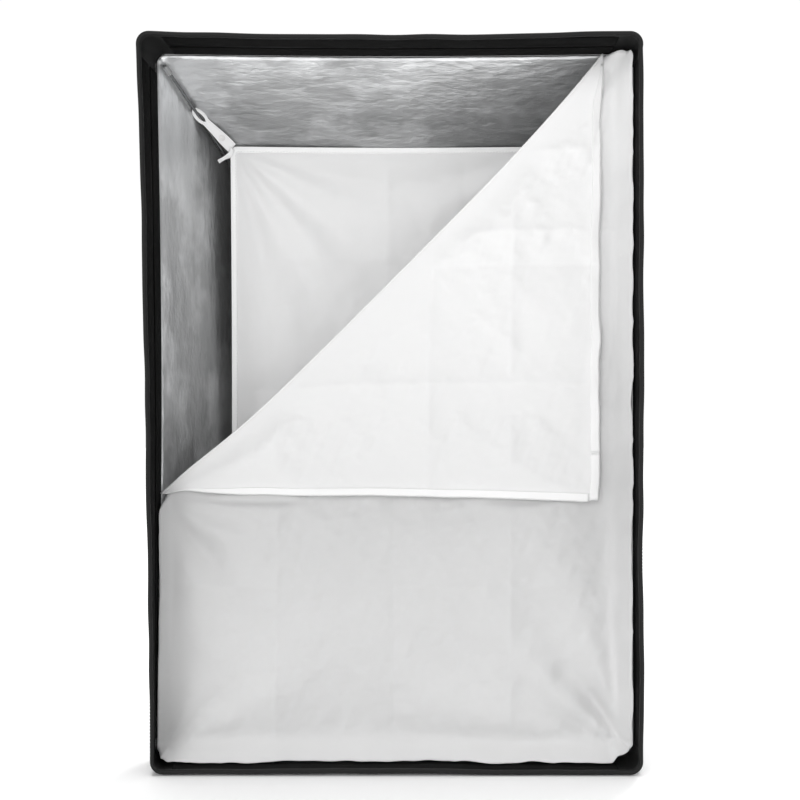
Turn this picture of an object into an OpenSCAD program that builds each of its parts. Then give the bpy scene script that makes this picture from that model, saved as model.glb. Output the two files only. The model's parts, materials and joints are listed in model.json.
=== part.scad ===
// Rectangular softbox on a three-lug rotating speedring, upright, with its front towards -Y.
// The origin is the centre of the seat face that rests on the lamp head. Millimetres throughout.

/* [Box] */
// Width over the front lip
front_w = 610; // [560:5:660]
// Height over the front lip
front_h = 900; // [840:5:960]
// From the seat face to the front rim
box_depth = 410; // [380:5:440]
// Depth of the straight front lip
lip_depth = 65; // [60:1:75]
// Outer radius of the lip's corners
corner_r = 15; // [10:1:25]
// Half the width and height of the rear opening
rear_half = 80; // [78:1:90]
// Bow of the top and bottom panels, as half the arc's angle
bow_top = 13; // [8:1:15]
// Bow of the side panels, as half the arc's angle
bow_side = 10; // [7:1:13]

/* [Fabric] */
// Thickness of the outer shell cloth
shell_t = 1.0; // [0.6:0.1:1.5]
// Thickness of the reflective lining
lining_t = 0.6; // [0.4:0.1:1.0]
// Thickness of the front lip cloth
lip_t = 1.6; // [1.0:0.1:2.5]
// Thickness of the diffuser sheets
sheet_t = 1.0; // [0.6:0.1:1.5]
// Thickness of hook and loop tape
tape_t = 1.2; // [0.8:0.1:1.5]
// Width of the diffuser's hook tape
hook_w = 20; // [15:1:25]

/* [Peeled corner] */
// Distance of the 45 degree fold line above the sheet's centre
fold_rise = 178; // [150:1:220]
// Gap between each sheet and the fold line
fold_gap = 1.5; // [1:0.5:3]

/* [Inner baffle] */
// Half the width of the baffle
baffle_half_w = 228; // [215:1:230]
// Half the height of the baffle
baffle_half_h = 361; // [340:1:364]
// From the seat face to the baffle
baffle_at = 245; // [240:1:255]
// Width of the baffle's edge binding
binding_w = 8; // [6:1:12]

/* [Rods] */
// Radius of a spring rod
rod_r = 2; // [1.5:0.25:2.25]
// Bow of a rod, as half the arc's angle
bow_rod = 16; // [14:1:17]

/* [Speedring] */
// Inner radius of the lamp port
port_r = 44; // [40:1:44]
// Outer radius of the ring plate
plate_r = 76; // [70:1:76]
// Rotation at which the bayonet lugs start
lug_turn = 20; // [0:5:60]

/* [Hidden] */
$fn = 48;

// Distances named "at" are measured forward from the seat face, along -Y.
// "cut" is how far a cutting shape reaches past what it cuts, and "gap" the play between two parts.
cut = 1;
gap = 0.1;
rear_at = 16;
lip_at = box_depth - lip_depth;
rim_depth = 7;
shell_end = lip_at - 2 * gap;
lip_in_w = front_w / 2 - lip_t;
lip_in_h = front_h / 2 - lip_t;
fabric_gap = 0.3;
shell_in = shell_t;
lining_out = shell_t + fabric_gap;
lining_in = lining_out + lining_t;

// Speedring stack
hub_r = 49;
flange_r = 60;
flange_t = 3;
seat_relief = 0.5;
seat_r = 52.5;
spigot_r = 48;
spigot_l = 12;
lug_r = 51.5;
lug_t = 3.5;
lug_span = 40;
washer_at = flange_t + gap;
washer_t = 0.7;
sleeve_r = 62;
sleeve_at = washer_at + washer_t + gap;
plate_at = 16;
plate_t = 8;
bore_clearance = 0.06;
ring_bore_r = hub_r + bore_clearance;
hub_l = plate_at + plate_t + 2 * gap;
retainer_r = 58;
retainer_in_r = 45.5;
retainer_t = 2.5;
screw_pcd_r = 47.2;
screw_r = 1.25;
screw_head_r = 2.4;
screw_head_t = 1.6;
screw_l = 9;
screw_socket_r = 1.1;
screw_socket_depth = 0.8;
screw_hole_r = screw_r + 0.15;

// Rod path: an arc from the socket to the front corner, in a plane through the lamp axis
tip_inset = [10, 13];
tip_back = 6;
tip_x = lip_in_w - tip_inset[0];
tip_z = lip_in_h - tip_inset[1];
tip_at = lip_at - tip_back;
rod_turn = atan(tip_x / tip_z);
rod_start = [25.2, 64];
rod_end = [tip_at, norm([tip_x, tip_z])];
rod_arc = arc_of(rod_start, rod_end, bow_rod);
boss_r = 6.5;
boss_l = 28;
boss_sink = 0.5;
socket_r = 3.4;
socket_floor = 2;
socket_gap = 0.3;
rod_clearance = 0.02;
ferrule_r = 2.9;
ferrule_l = 22;
cap_r = 2.6;
cap_l = 12;
pocket_r = 4.2;
pocket_l = 14;
pocket_overhang = 1.5;
pocket_clearance = 0.15;

// Lock screw, pointing along +X
screw_at = 9.5;
stud_r = 3;
thread_r = stud_r + gap;
pad_r = 2.6;
pad_x = hub_r + gap;
pad_l = 3;
stud_end_x = 92;
neck_x = 64;
neck_r = 3.8;
head_x = 84;
head_l = 13;
head_r = 9;
lobes = 6;
lobe_r = 2.2;
lobe_from = 2.5;
pad_gap = 0.02;

// Collar and its closing tabs
collar_at = 13.6;
collar_t = 1.5;
collar_hole_r = 63.5;
tab_l = 31;
tab_w = 28;
tab_t = 1.2;
tab_at = 11.7;
tab_r = 66;
patch_t = 0.5;
patch_inset = [8, 14];

// Front sheets
sheet_gap = 3.4;
sheet_half_w = lip_in_w - sheet_gap;
sheet_half_h = lip_in_h - sheet_gap;
sheet_corner_inset = lip_t + 0.5;
main_at = lip_at + 5;
fold_lift = 1.5;
flap_at = main_at + 2 * fold_lift;
loop_tape_w = 22;
loop_tape_at = lip_at + 2;
grid_tape_w = 23;
grid_tape_at = lip_at + 31;
tape_end = corner_r + 12;
tape_x = front_w / 2 - tape_end;
tape_z = front_h / 2 - tape_end;
hook_gap = 0.2;
hook_at = main_at - 2;
hook_fold_gap = 4;
hook_fold_margin = 40;
hook_corner_gap = 1;
rim_wall = 5;

// Baffle and its corner straps
baffle_t = 0.8;
binding_t = 2;
strap_w = 15;
strap_t = 1;
strap_loop_r = 3.4;
strap_loop_l = 14;
strap_clearance = 0.2;
strap_back = 74;
strap_inset = 3;
strap_front = 3.5;
strap_taper = 0.55;
snap_r = 4.5;
snap_t = 2;

// [centre forward, centre out, radius] of the arc from p to q that bows outward by half-angle bow
function arc_of(p, q, bow) =
    let (chord = q - p, r = norm(chord) / 2 / sin(bow), u = chord / norm(chord))
    [(p[0] + q[0]) / 2 + u[1] * r * cos(bow), (p[1] + q[1]) / 2 - u[0] * r * cos(bow), r];
// Angle of point p, seen from the arc's centre
function seen(arc, p) = atan2(p[1] - arc[1], p[0] - arc[0]);

top_arc = arc_of([rear_at, rear_half], [lip_at, lip_in_h], bow_top);
side_arc = arc_of([rear_at, rear_half], [lip_at, lip_in_w], bow_side);
rod_from = seen(rod_arc, rod_end);
rod_to = seen(rod_arc, rod_start);
rod_turns = [-rod_turn, rod_turn, 180 + rod_turn, 180 - rod_turn];
rod_l = (rod_to - rod_from) * PI / 180 * rod_arc[2] - socket_floor - socket_gap;

// Point on the rod of the upper right corner, "back" millimetres along it from the front tip
function rod_point(back) =
    let (a = rod_from + back * 180 / PI / rod_arc[2],
         at = rod_arc[0] + rod_arc[2] * cos(a), out = rod_arc[1] + rod_arc[2] * sin(a))
    [out * sin(rod_turn), -at, out * cos(rod_turn)];
strap_from = [baffle_half_w - strap_inset, -baffle_at - strap_front, baffle_half_h - strap_inset];
strap_run = rod_point(strap_back) - strap_from;
strap_l = norm(strap_run);

// The 45 degree fold line is z = x + fold_rise. Each sheet's edge is fold_step from it along z.
fold_top_x = sheet_half_h - fold_rise;
fold_left_z = fold_rise - sheet_half_w;
fold_step = fold_gap * sqrt(2);

// Puts a (forward, up) outline extruded along its third axis so that forward is -Y and up is +Z
module stand_up() {
    rotate([90, 0, -90]) children();
}
// The same with the outline's second axis along +X
module stand_sideways() {
    rotate([0, 0, -90]) children();
}
// A disc or outline drawn in the XZ plane, from "at" to "at + t" forward
module facing(at, t) {
    translate([0, -at, 0]) rotate([90, 0, 0]) linear_extrude(t) children();
}
module ring(at, t, r_out, r_in) {
    translate([0, -at, 0]) rotate([90, 0, 0]) difference() {
        cylinder(h = t, r = r_out);
        translate([0, 0, -cut]) cylinder(h = t + 2 * cut, r = r_in);
    }
}

// Area between the lamp axis and an arc shrunk by "inset", from the rear edge to the lip
module under_arc(arc, inset) {
    intersection() {
        translate([arc[0], arc[1]]) circle(r = arc[2] - inset, $fn = 128);
        translate([rear_at, 0]) square([shell_end - rear_at, front_h]);
    }
}
module arc_band(arc, outer, inner) {
    difference() {
        under_arc(arc, outer);
        translate([arc[0], arc[1]]) circle(r = arc[2] - inner, $fn = 128);
    }
}
// Top panel of one cloth layer, cut to the width between the side panels
module top_layer(outer, inner) {
    intersection() {
        stand_up() linear_extrude(front_w, center = true) arc_band(top_arc, outer, inner);
        stand_sideways() linear_extrude(front_h) union() {
            under_arc(side_arc, inner);
            mirror([0, 1]) under_arc(side_arc, inner);
        }
    }
}
// Right panel of one cloth layer, the full height of the layer
module right_layer(outer, inner) {
    intersection() {
        stand_sideways() linear_extrude(front_h, center = true) arc_band(side_arc, outer, inner);
        stand_up() linear_extrude(2 * front_w, center = true) union() {
            under_arc(top_arc, outer);
            mirror([0, 1]) under_arc(top_arc, outer);
        }
    }
}

module bayonet_insert() {
    color("silver") difference() {
        union() {
            ring(0, hub_l, hub_r, port_r);
            ring(seat_relief, flange_t - seat_relief, flange_r, port_r);
            ring(0, flange_t, flange_r, seat_r);
            ring(-spigot_l, spigot_l + seat_relief, spigot_r, port_r);
            for (k = [0:2]) rotate([0, lug_turn + 120 * k, 0]) bayonet_lug();
        }
        ring(-cut, seat_relief + cut, seat_r, spigot_r);
        for (k = [0:3]) screw_axis(k) translate([0, 0, -cut]) cylinder(h = screw_l + 2 * cut, r = screw_r);
    }
}
module bayonet_lug() {
    reach = lug_r / cos(lug_span / 2);
    rotate([90, 0, 0]) translate([0, 0, -spigot_l]) linear_extrude(lug_t) intersection() {
        difference() {
            circle(r = lug_r, $fn = 96);
            circle(r = spigot_r - cut, $fn = 96);
        }
        polygon([
            [0, 0],
            [-reach * sin(lug_span / 2), reach * cos(lug_span / 2)],
            [reach * sin(lug_span / 2), reach * cos(lug_span / 2)]
        ]);
    }
}
// Axis of retainer screw k, starting at the front of the hub and running to the rear
module screw_axis(k) {
    rotate([0, 45 + 90 * k, 0]) translate([0, -hub_l, screw_pcd_r]) rotate([-90, 0, 0]) children();
}
module retainer_ring() {
    color("silver") difference() {
        ring(hub_l, retainer_t, retainer_r, retainer_in_r);
        for (k = [0:3]) screw_axis(k) translate([0, 0, -retainer_t - cut])
            cylinder(h = retainer_t + 2 * cut, r = screw_hole_r);
    }
}
module retainer_screws() {
    color("dimgray") for (k = [0:3]) screw_axis(k) {
        translate([0, 0, -retainer_t]) cylinder(h = retainer_t + screw_l, r = screw_r);
        translate([0, 0, -retainer_t - screw_head_t]) difference() {
            cylinder(h = screw_head_t, r = screw_head_r);
            translate([0, 0, -cut]) cylinder(h = screw_socket_depth + cut, r = screw_socket_r, $fn = 6);
        }
    }
}
module glide_washer() {
    color("white") ring(washer_at, washer_t, flange_r, ring_bore_r + 0.4);
}
module rod_boss() {
    stand_up() translate([rod_arc[0], rod_arc[1], 0]) rotate([0, 0, rod_to])
        translate([rod_arc[2], 0, 0]) rotate([90, 0, 0]) children();
}
module speedring() {
    color([0.12, 0.12, 0.13]) difference() {
        union() {
            ring(sleeve_at, plate_at - sleeve_at + cut, sleeve_r, ring_bore_r);
            ring(plate_at, plate_t, plate_r, ring_bore_r);
            for (turn = rod_turns) rotate([0, turn, 0]) rod_boss()
                translate([0, 0, -boss_sink]) cylinder(h = boss_l, r = boss_r);
        }
        ring(sleeve_at - cut, hub_l + cut, ring_bore_r, hub_r - cut);
        for (turn = rod_turns) rotate([0, turn, 0]) rod_boss()
            translate([0, 0, socket_floor]) cylinder(h = boss_l, r = socket_r);
        translate([hub_r - cut, -screw_at, 0]) rotate([0, 90, 0])
            cylinder(h = sleeve_r - hub_r + 2 * cut, r = thread_r);
    }
}
module along_x(from, length, r) {
    translate([from, -screw_at, 0]) rotate([0, 90, 0]) cylinder(h = length, r = r);
}
module brake_pad() {
    color("white") along_x(pad_x, pad_l, pad_r);
}
module lock_stud() {
    from = pad_x + pad_l + pad_gap;
    color("silver") along_x(from, stud_end_x - from, stud_r);
}
module lock_knob() {
    color([0.08, 0.08, 0.08]) difference() {
        union() {
            along_x(neck_x, head_x - neck_x + cut, neck_r);
            along_x(head_x, head_l, head_r);
        }
        along_x(neck_x - cut, stud_end_x - neck_x + cut + pad_gap, stud_r + pad_gap);
        for (k = [0:lobes - 1]) translate([head_x + lobe_from, -screw_at, 0]) rotate([360 / lobes * k, 0, 0])
            translate([0, 0, head_r + lobe_r / 2]) rotate([0, 90, 0]) cylinder(h = head_l, r = lobe_r);
    }
}

// Children are placed in the rod's own plane, with the rod's arc centre as their origin
module rod_plane(turn) {
    rotate([0, turn, 0]) stand_up() translate([rod_arc[0], rod_arc[1], 0]) children();
}
// A tube round the rod's arc, from "from" to "from + length" millimetres back from the front tip
module rod_tube(turn, from, length, r_out, r_in) {
    per_mm = 180 / PI / rod_arc[2];
    rod_plane(turn) rotate([0, 0, rod_from + from * per_mm])
        rotate_extrude(angle = length * per_mm) translate([rod_arc[2], 0]) difference() {
            circle(r = r_out);
            if (r_in > 0) circle(r = r_in);
        }
}
module rod(k) {
    color([0.35, 0.35, 0.37]) rod_tube(rod_turns[k], 0, rod_l, rod_r, 0);
}
module rod_ferrules() {
    color([0.75, 0.6, 0.3]) for (turn = rod_turns)
        rod_tube(turn, rod_l - ferrule_l, ferrule_l, ferrule_r, rod_r + rod_clearance);
}
module rod_tip_caps() {
    color([0.1, 0.1, 0.1]) for (turn = rod_turns) rod_tube(turn, 0, cap_l, cap_r, rod_r + rod_clearance);
}
module corner_pockets() {
    color([0.7, 0.7, 0.72]) for (turn = rod_turns)
        rod_tube(turn, -pocket_overhang, pocket_l, pocket_r, cap_r + pocket_clearance);
}

module shell_top() {
    color([0.09, 0.09, 0.1]) top_layer(0, shell_in);
}
module shell_bottom() {
    mirror([0, 0, 1]) shell_top();
}
module shell_right() {
    color([0.09, 0.09, 0.1]) right_layer(0, shell_in);
}
module shell_left() {
    mirror([1, 0, 0]) shell_right();
}
module lining_top() {
    color([0.72, 0.72, 0.74]) top_layer(lining_out, lining_in);
}
module lining_bottom() {
    mirror([0, 0, 1]) lining_top();
}
module lining_right() {
    color([0.72, 0.72, 0.74]) right_layer(lining_out, lining_in);
}
module lining_left() {
    mirror([1, 0, 0]) lining_right();
}

module rear_collar() {
    color([0.09, 0.09, 0.1]) facing(collar_at, collar_t) difference() {
        square(2 * rear_half, center = true);
        circle(r = collar_hole_r, $fn = 96);
    }
}
// Children are placed at the middle of the tab on one upper corner of the collar
module tab_place(side) {
    rotate([0, side * 45, 0]) translate([0, 0, tab_r + tab_l / 2]) children();
}
module collar_loop_patches() {
    color([0.05, 0.05, 0.05]) for (side = [-1, 1]) tab_place(side)
        facing(collar_at - patch_t, patch_t) square([tab_w, tab_l] - patch_inset, center = true);
}
module closure_tab(side) {
    color([0.1, 0.1, 0.1]) tab_place(side)
        facing(tab_at, tab_t) square([tab_w, tab_l], center = true);
}

// A rectangular band with round corners, "wall" thick, from "at" to "at + t" forward
module lip_band(at, t, wall) {
    facing(at, t) difference() {
        rounded_outline(0);
        rounded_outline(wall);
    }
}
module rounded_outline(inset) {
    w = front_w - 2 * inset;
    h = front_h - 2 * inset;
    r = corner_r - inset;
    square([w, h - 2 * r], center = true);
    square([w - 2 * r, h], center = true);
    for (x = [-1, 1], z = [-1, 1]) translate([x * (w / 2 - r), z * (h / 2 - r)]) circle(r = r);
}
module front_lip() {
    color([0.1, 0.1, 0.1]) lip_band(lip_at, lip_depth - rim_depth, lip_t);
}
module lip_rim_binding() {
    color([0.14, 0.14, 0.14]) lip_band(box_depth - rim_depth, rim_depth, rim_wall);
}
// A strip of tape on a side wall of the lip, from height z0 to z1, "out" from the wall
module side_tape(side, at, width, out, z0, z1) {
    translate([side * (lip_in_w - out - tape_t / 2), -at - width / 2, (z0 + z1) / 2])
        cube([tape_t, width, z1 - z0], center = true);
}
// A strip of tape on the top (1) or bottom (-1) wall of the lip, from x0 to x1
module level_tape(side, at, width, out, x0, x1) {
    translate([(x0 + x1) / 2, -at - width / 2, side * (lip_in_h - out - tape_t / 2)])
        cube([x1 - x0, width, tape_t], center = true);
}
module loop_tapes(at, width) {
    color([0.05, 0.05, 0.05]) for (side = [-1, 1]) {
        side_tape(side, at, width, 0, -tape_z, tape_z);
        level_tape(side, at, width, 0, -tape_x, tape_x);
    }
}
module diffuser_loop_tape() {
    loop_tapes(loop_tape_at, loop_tape_w);
}
module grid_loop_tape() {
    loop_tapes(grid_tape_at, grid_tape_w);
}

module inner_baffle() {
    color([0.93, 0.93, 0.94]) facing(baffle_at, baffle_t) baffle_outline(binding_w);
}
module baffle_outline(inset) {
    square(2 * [baffle_half_w - inset, baffle_half_h - inset], center = true);
}
module baffle_binding() {
    color("white") facing(baffle_at - (binding_t - baffle_t) / 2, binding_t) difference() {
        baffle_outline(0);
        baffle_outline(binding_w);
    }
}
// Children lie along the upper right strap: x along it, z across its thickness
module strap_frame() {
    translate(strap_from)
        rotate([0, -atan2(strap_run[2], strap_run[0]), 0])
        rotate([0, 0, atan2(strap_run[1], norm([strap_run[0], strap_run[2]]))])
        rotate([90, 0, 0]) children();
}
// A tapering band of webbing that ends in a loop round the rod
module strap_upper_right() {
    taper_from = strap_l * strap_taper;
    taper_to = strap_l - strap_loop_r / 2;
    difference() {
        union() {
            strap_frame() linear_extrude(strap_t) polygon([
                [0, -strap_w / 2],
                [taper_from, -strap_w / 2],
                [taper_to, -strap_w / 4],
                [taper_to, strap_w / 4],
                [taper_from, strap_w / 2],
                [0, strap_w / 2]
            ]);
            rod_tube(rod_turn, strap_back - strap_loop_l / 2, strap_loop_l, strap_loop_r, 0);
        }
        rod_tube(rod_turn, strap_back - strap_l / 2, strap_l, rod_r + strap_clearance, 0);
    }
}
module snap_upper_right() {
    strap_frame() translate([strap_l / 2, 0, strap_t]) cylinder(h = snap_t, r = snap_r);
}
module at_corner(x, z) {
    mirror([x < 0 ? 1 : 0, 0, 0]) mirror([0, 0, z < 0 ? 1 : 0]) children();
}
module baffle_strap(x, z) {
    color("white") at_corner(x, z) strap_upper_right();
}
module strap_snaps() {
    color([0.8, 0.8, 0.8]) for (x = [-1, 1], z = [-1, 1]) at_corner(x, z) snap_upper_right();
}

// The part of the opening's outline that the sheets may fill, clear of the lip's round corners
module sheet_outline() {
    intersection() {
        rounded_outline(sheet_corner_inset);
        square(2 * [sheet_half_w, sheet_half_h], center = true);
    }
}
module front_diffuser() {
    color([0.9, 0.9, 0.91]) facing(main_at - sheet_t / 2, sheet_t) intersection() {
        sheet_outline();
        polygon([
            [-sheet_half_w, -sheet_half_h],
            [sheet_half_w, -sheet_half_h],
            [sheet_half_w, sheet_half_h],
            [fold_top_x + fold_step, sheet_half_h],
            [-sheet_half_w, fold_left_z - fold_step]
        ]);
    }
}
module diffuser_hook_tape() {
    out = tape_t + hook_gap;
    color("white") {
        side_tape(1, hook_at, hook_w, out, -tape_z, tape_z);
        side_tape(-1, hook_at, hook_w, out, -tape_z, fold_left_z - hook_fold_gap);
        level_tape(-1, hook_at, hook_w, out, -tape_x, tape_x);
        level_tape(1, hook_at, hook_w, out, fold_top_x + hook_fold_gap, tape_x);
    }
}
// Folds the upper left corner's outline over the fold line, to the lower right of it
module folded_over() {
    translate([0, fold_rise]) mirror([1, -1]) translate([0, -fold_rise]) intersection() {
        sheet_outline();
        children();
    }
}
module diffuser_flap() {
    color([0.96, 0.96, 0.97]) facing(flap_at - sheet_t / 2, sheet_t) folded_over() polygon([
        [-sheet_half_w, sheet_half_h],
        [fold_top_x - fold_step, sheet_half_h],
        [-sheet_half_w, fold_left_z + fold_step]
    ]);
}
module flap_hook_tape() {
    color("white") facing(flap_at + sheet_t / 2, tape_t) folded_over() {
        translate([-sheet_half_w, sheet_half_h - hook_w])
            square([sheet_half_w + fold_top_x - hook_fold_margin, hook_w]);
        translate([-sheet_half_w, fold_left_z + hook_fold_margin])
            square([hook_w, sheet_half_h - hook_w - hook_corner_gap - fold_left_z - hook_fold_margin]);
    }
}

bayonet_insert();
retainer_ring();
retainer_screws();
glide_washer();
speedring();
brake_pad();
lock_stud();
lock_knob();
rod(0);  // rod_top_left
rod(1);  // rod_top_right
rod(2);  // rod_bottom_left
rod(3);  // rod_bottom_right
rod_ferrules();
rod_tip_caps();
corner_pockets();
shell_top();
shell_bottom();
shell_left();
shell_right();
lining_top();
lining_bottom();
lining_left();
lining_right();
rear_collar();
collar_loop_patches();
closure_tab(-1);  // closure_tab_left
closure_tab(1);  // closure_tab_right
front_lip();
lip_rim_binding();
diffuser_loop_tape();
grid_loop_tape();
inner_baffle();
baffle_binding();
baffle_strap(-1, 1);  // baffle_strap_top_left
baffle_strap(1, 1);  // baffle_strap_top_right
baffle_strap(-1, -1);  // baffle_strap_bottom_left
baffle_strap(1, -1);  // baffle_strap_bottom_right
strap_snaps();
front_diffuser();
diffuser_hook_tape();
diffuser_flap();
flap_hook_tape();
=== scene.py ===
"""Looks of a rectangular softbox whose front diffuser is peeled at one corner, built round its CAD frame.

Metres throughout. The origin is the lamp seat, the front faces -Y and +Z is up. "Forward" is along -Y.
"""

import json
import math

import bpy
import numpy as np
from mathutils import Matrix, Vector


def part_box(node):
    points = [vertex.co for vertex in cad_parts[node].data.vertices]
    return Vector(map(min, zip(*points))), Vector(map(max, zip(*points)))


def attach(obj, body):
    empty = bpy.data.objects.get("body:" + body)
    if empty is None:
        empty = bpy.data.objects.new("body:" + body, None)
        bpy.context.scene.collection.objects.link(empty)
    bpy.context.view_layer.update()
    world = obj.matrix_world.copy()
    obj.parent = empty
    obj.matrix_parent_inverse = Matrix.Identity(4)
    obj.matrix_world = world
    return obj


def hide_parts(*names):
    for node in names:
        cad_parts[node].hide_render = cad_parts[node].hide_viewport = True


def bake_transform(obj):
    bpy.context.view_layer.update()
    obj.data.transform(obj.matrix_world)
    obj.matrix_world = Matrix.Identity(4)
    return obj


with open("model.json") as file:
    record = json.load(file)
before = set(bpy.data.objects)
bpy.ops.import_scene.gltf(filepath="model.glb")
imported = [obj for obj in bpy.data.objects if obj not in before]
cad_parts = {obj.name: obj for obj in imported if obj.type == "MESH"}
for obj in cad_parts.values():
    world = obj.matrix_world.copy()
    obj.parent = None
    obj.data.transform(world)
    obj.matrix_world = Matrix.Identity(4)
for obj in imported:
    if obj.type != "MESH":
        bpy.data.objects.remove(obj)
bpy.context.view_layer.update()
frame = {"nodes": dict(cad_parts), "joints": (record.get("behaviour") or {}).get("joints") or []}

MM = 0.001
TINY = 1e-12
TAU = 2 * math.pi
X, Y, Z = np.eye(3)  # unit directions


def corners(node):
    """Lowest and highest corner of a CAD node, as arrays."""
    lo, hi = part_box(node)
    return np.array(lo), np.array(hi)


def middle_y(node):
    return float(np.mean([corner[1] for corner in corners(node)]))


# ---- sizes taken from the frame
rim_lo, rim_hi = corners("lip_rim_binding")
HALF_W, HALF_H = rim_hi[0], rim_hi[2]
FRONT_Y, RIM_Y, LIP_Y = rim_lo[1], rim_hi[1], corners("front_lip")[1][1]
REAR_Y, REAR_HALF = corners("shell_top")[1][1], corners("rear_collar")[1][0]
LIP_WALL = 1.6 * MM
LIP_IN_W, LIP_IN_H = HALF_W - LIP_WALL, HALF_H - LIP_WALL
LIP_CORNER_R, SHELL_CORNER_R = 15 * MM, 12 * MM
SHEET_W, _, SHEET_H = corners("front_diffuser")[1]
BAFFLE_W, _, BAFFLE_H = corners("baffle_binding")[1]
MAIN_Y, FLAP_Y, BAFFLE_Y = (middle_y(node) for node in ("front_diffuser", "diffuser_flap", "baffle_binding"))

peel = next(j for j in frame["joints"] if j["name"] == "corner_peel")
_, FOLD_Y, FOLD_RISE = peel["pos_m"]
FOLD_TOP_X = SHEET_H - FOLD_RISE
FOLD_LEFT_Z = FOLD_RISE - SHEET_W
FOLD_GAP = 1.5 * MM

# Half-angles of the arcs that the panels and rods follow, as in the CAD
BOW_TOP, BOW_SIDE, BOW_ROD = math.radians(13), math.radians(10), math.radians(16)
ROD_START = np.array([25.2, 64]) * MM  # forward and out of the rod's rear end
STRAP_BACK = 74 * MM  # how far behind the rod's tip a strap's eye sits

# How far the cloth walls of the front are pulled out of square
ROOT_SAG = {"left": 6 * MM, "right": 1.5 * MM, "top": 3 * MM, "bottom": 1 * MM}
RIM_SAG = {"left": 0, "right": -1 * MM, "top": 3.5 * MM, "bottom": 1 * MM}
LEAN_TOP, LEAN_FALL = -4 * MM, 17 * MM

CLOTH_T, STITCH_PITCH = 0.5 * MM, 4.2
SHEET_STEP = 3 * MM


# ---- shapes
def smoothstep(t):
    t = np.clip(t, 0, 1)
    return t * t * (3 - 2 * t)


def xyz(*parts):
    """Points of separate coordinates, x, y, z or only two."""
    return np.stack(np.broadcast_arrays(*parts), -1).astype(float)


def unit(v):
    return v / np.maximum(np.linalg.norm(v, axis=-1, keepdims=True), TINY)


def run_along(path):
    """How far along a path each of its points is."""
    return np.concatenate([[0], np.cumsum(np.linalg.norm(np.diff(path, axis=0), axis=1))])


def bell(distance, width):
    return np.exp(-((distance / width) ** 2))


def mid_share(v, half):
    """From 0 at both ends of a side, or beyond them, to 1 at its middle."""
    return np.cos(np.clip(v / half, -1, 1) * math.pi / 2)


def ripple(seed, shortest, longest, count=20, ridged=False):
    """A seeded height field of about -1 to 1, made of waves between two wavelengths."""
    rng = np.random.default_rng(seed)
    heading = rng.uniform(0, TAU, count)
    phase = rng.uniform(0, TAU, count)
    length = np.geomspace(shortest, longest, count)
    weight = (length / longest) ** 0.8
    weight /= np.sqrt(np.sum(weight**2))

    def height(u, v):
        total = 0
        for h, p, l, w in zip(heading, phase, length, weight):
            wave = np.cos(TAU / l * (u * math.cos(h) + v * math.sin(h)) + p)
            total = total + w * (1 - 2 * np.abs(wave) if ridged else wave)
        return total

    return height


def arc(p, q, bow):
    """Centre and radius of the arc from p to q, (forward, out), that bows outward by half-angle bow."""
    chord = q - p
    length = np.linalg.norm(chord)
    radius = length / 2 / math.sin(bow)
    u = chord / length
    centre = (p + q) / 2 + np.array([u[1], -u[0]]) * radius * math.cos(bow)
    return centre, radius


def arc_out(the_arc, forward):
    centre, radius = the_arc
    return centre[1] + np.sqrt(radius**2 - (forward - centre[0]) ** 2)


rear = np.array([-REAR_Y, REAR_HALF])
top_arc = arc(rear, np.array([-LIP_Y, LIP_IN_H]), BOW_TOP)
side_arc = arc(rear, np.array([-LIP_Y, LIP_IN_W]), BOW_SIDE)

ROD_TIP_INSET = np.array([10, 13]) * MM
ROD_TIP_BACK = 6 * MM
rod_tip = np.array([LIP_IN_W, LIP_IN_H]) - ROD_TIP_INSET
rod_turn = math.atan2(rod_tip[0], rod_tip[1])
rod_end = np.array([-LIP_Y - ROD_TIP_BACK, np.linalg.norm(rod_tip)])
rod_arc = arc(ROD_START, rod_end, BOW_ROD)


def rod_points(back, corner):
    """Points on the rod of a corner (sign of x, sign of z), at distances back from its front tip."""
    centre, radius = rod_arc
    start = math.atan2(*(rod_end - centre)[::-1])
    angle = start + np.atleast_1d(back) / radius
    forward, out = centre[0] + radius * np.cos(angle), centre[1] + radius * np.sin(angle)
    return xyz(out * math.sin(rod_turn) * corner[0], -forward, out * math.cos(rod_turn) * corner[1])


def grid_faces(rows, cols, close_rows=False, close_cols=False):
    """Quads, as (n, 4) indices, of a grid of rows by cols points."""
    r = np.arange(rows if close_rows else rows - 1)[:, None]
    c = np.arange(cols if close_cols else cols - 1)[None, :]
    r1, c1 = (r + 1) % rows, (c + 1) % cols
    return np.stack([r * cols + c, r1 * cols + c, r1 * cols + c1, r * cols + c1], -1).reshape(-1, 4)


def vertex_normals(points, faces):
    a, b, c, d = (points[faces[:, k]] for k in range(4))
    face_normals = np.cross(c - a, d - b)
    normals = np.zeros_like(points)
    for k in range(4):
        np.add.at(normals, faces[:, k], face_normals)
    return unit(normals)


def open_edges(faces, count):
    """Directed edges that only one face uses. A triangle repeats its last corner."""
    a = faces.ravel()
    b = np.roll(faces, -1, axis=1).ravel()
    real = a != b
    a, b = a[real], b[real]
    single = ~np.isin(a * count + b, b * count + a)
    return a[single], b[single]


def slab(points, faces, uv, thickness=CLOTH_T):
    """Cloth with two sides: the surface moved half a thickness each way, and a rim round its edges."""
    count = len(points)
    shift = vertex_normals(points, faces) * thickness / 2
    a, b = open_edges(faces, count)
    rim = np.stack([b, a, a + count, b + count], -1)
    back = faces[:, [0, 3, 2, 1]] + count
    back_tri = faces[:, 2] == faces[:, 3]
    back[back_tri] = faces[back_tri][:, [2, 1, 0, 0]] + count
    return np.vstack([points + shift, points - shift]), np.vstack([faces, back, rim]), np.vstack([uv, uv])


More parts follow.
